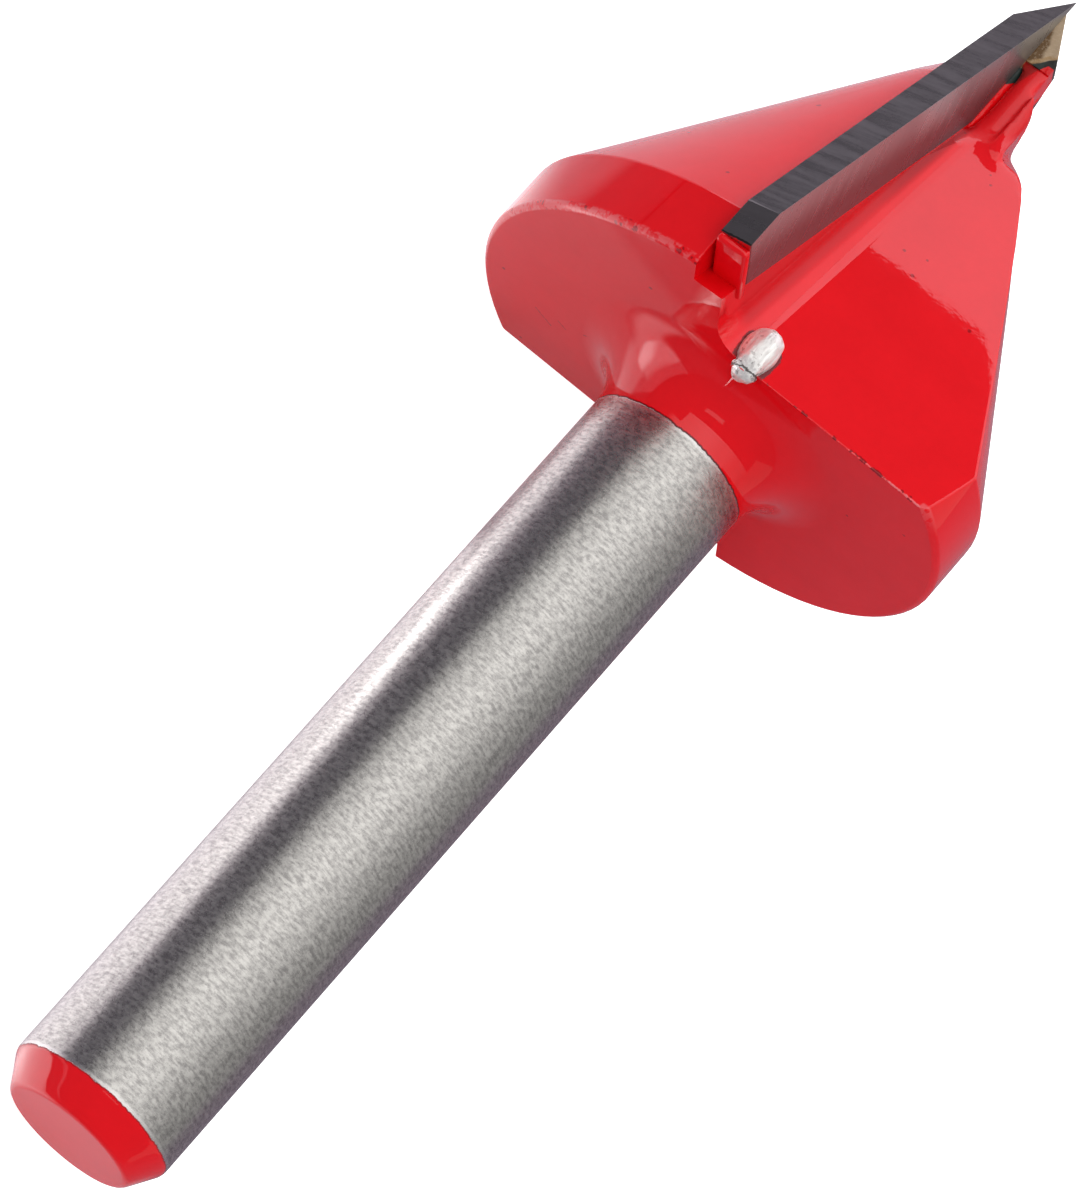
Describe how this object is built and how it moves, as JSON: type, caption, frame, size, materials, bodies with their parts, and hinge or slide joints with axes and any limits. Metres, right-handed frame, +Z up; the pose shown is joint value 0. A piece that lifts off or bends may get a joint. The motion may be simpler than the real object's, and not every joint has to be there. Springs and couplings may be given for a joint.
{
  "type": "v groove router bit",
  "caption": "Router bit with a straight round shank and a wide flared head whose carbide inserts cut a V-shaped groove.",
  "frame": {"origin": "middle of the bit's footprint, on the table that it lies on", "axes": "+X along the table from the shank's end to the cutting tip, +Z up from the table, +Y to the left when looking from the shank to the tip; the tool's own axis lies in the XZ plane and rises towards the tip"},
  "size_m": [0.0524, 0.0186, 0.0166],
  "materials": {
    "painted_steel": "gloss",
    "carbide": "ground",
    "braze": "satin"
  },
  "bodies": {
    "root": {"body": "painted_steel", "insert_first": "carbide", "insert_second": "carbide", "braze": "braze"}
  },
  "joints": []
}
